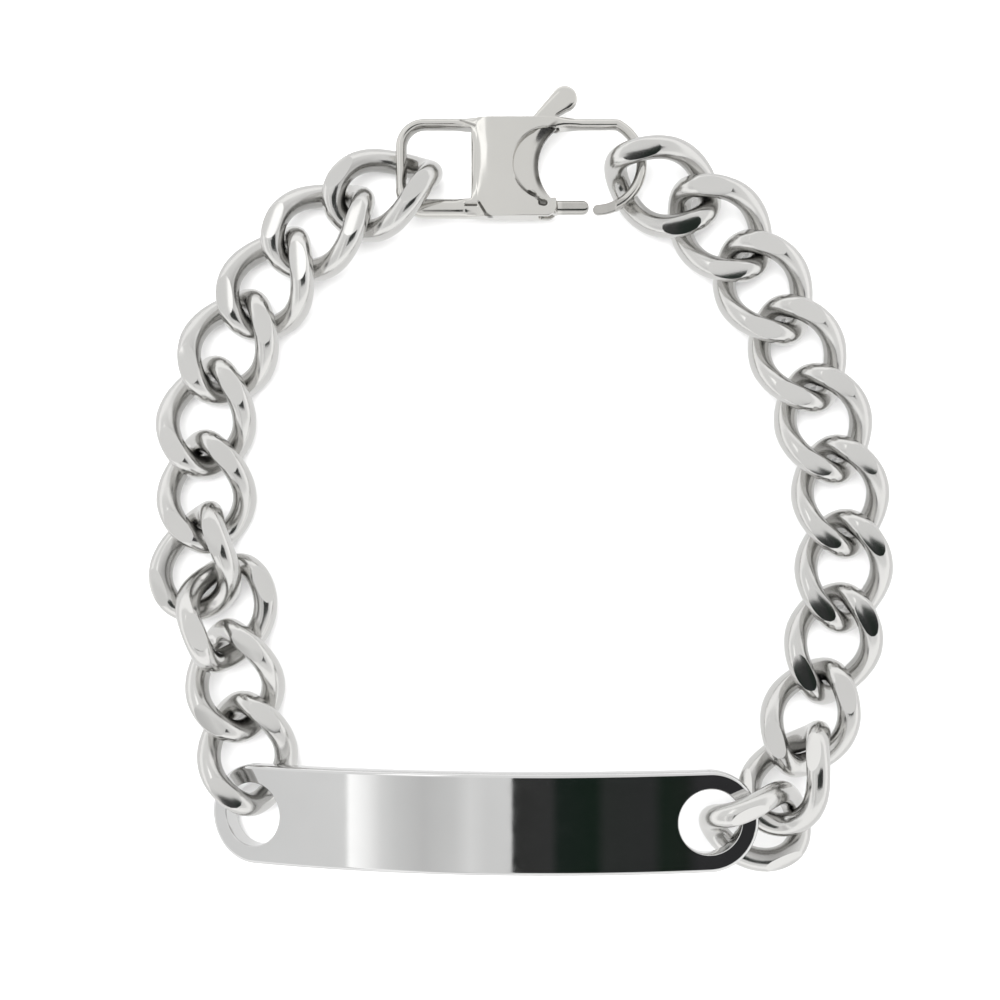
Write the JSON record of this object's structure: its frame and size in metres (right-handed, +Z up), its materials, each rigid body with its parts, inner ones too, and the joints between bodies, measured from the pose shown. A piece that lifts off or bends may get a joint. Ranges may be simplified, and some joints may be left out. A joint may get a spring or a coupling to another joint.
{
  "type": "id bracelet",
  "caption": "Curb chain id bracelet with a curved name plate linked through a hole at each end and a hook clasp whose sprung gate opens by a thumb lever.",
  "frame": {"origin": "centre of the bracelet's bounding box, on the surface it lies on", "axes": "+Z up from the surface, +Y from the name plate towards the clasp, +X towards the hook's side"},
  "size_m": [0.0758, 0.0792, 0.0106],
  "materials": {
    "link_steel": "mirror polished",
    "plate_steel": "mirror polished",
    "clasp_steel": "polished"
  },
  "bodies": {
    "bracelet": {"id_plate": "plate_steel", "left_link_01": "link_steel", "left_link_02": "link_steel", "left_link_03": "link_steel", "left_link_04": "link_steel", "left_link_05": "link_steel", "left_link_06": "link_steel", "left_link_07": "link_steel", "left_link_08": "link_steel", "left_link_09": "link_steel", "left_link_10": "link_steel", "right_link_01": "link_steel", "right_link_02": "link_steel", "right_link_03": "link_steel", "right_link_04": "link_steel", "right_link_05": "link_steel", "right_link_06": "link_steel", "right_link_07": "link_steel", "right_link_08": "link_steel", "right_link_09": "link_steel", "right_link_10": "link_steel", "right_link_11": "link_steel", "clasp_body": "clasp_steel", "clasp_pin": "clasp_steel"},
    "gate": {"clasp_gate": "clasp_steel"}
  },
  "joints": [
    {"name": "gate_pivot", "type": "hinge", "parent": "bracelet", "child": "gate", "pos_m": [0.00101, 0.02829, 0.0034], "axis": [0, 0, 1], "range_deg": [0, 25], "stiffness_Nm_per_rad": 0.004, "springref_deg": -17.19}
  ]
}
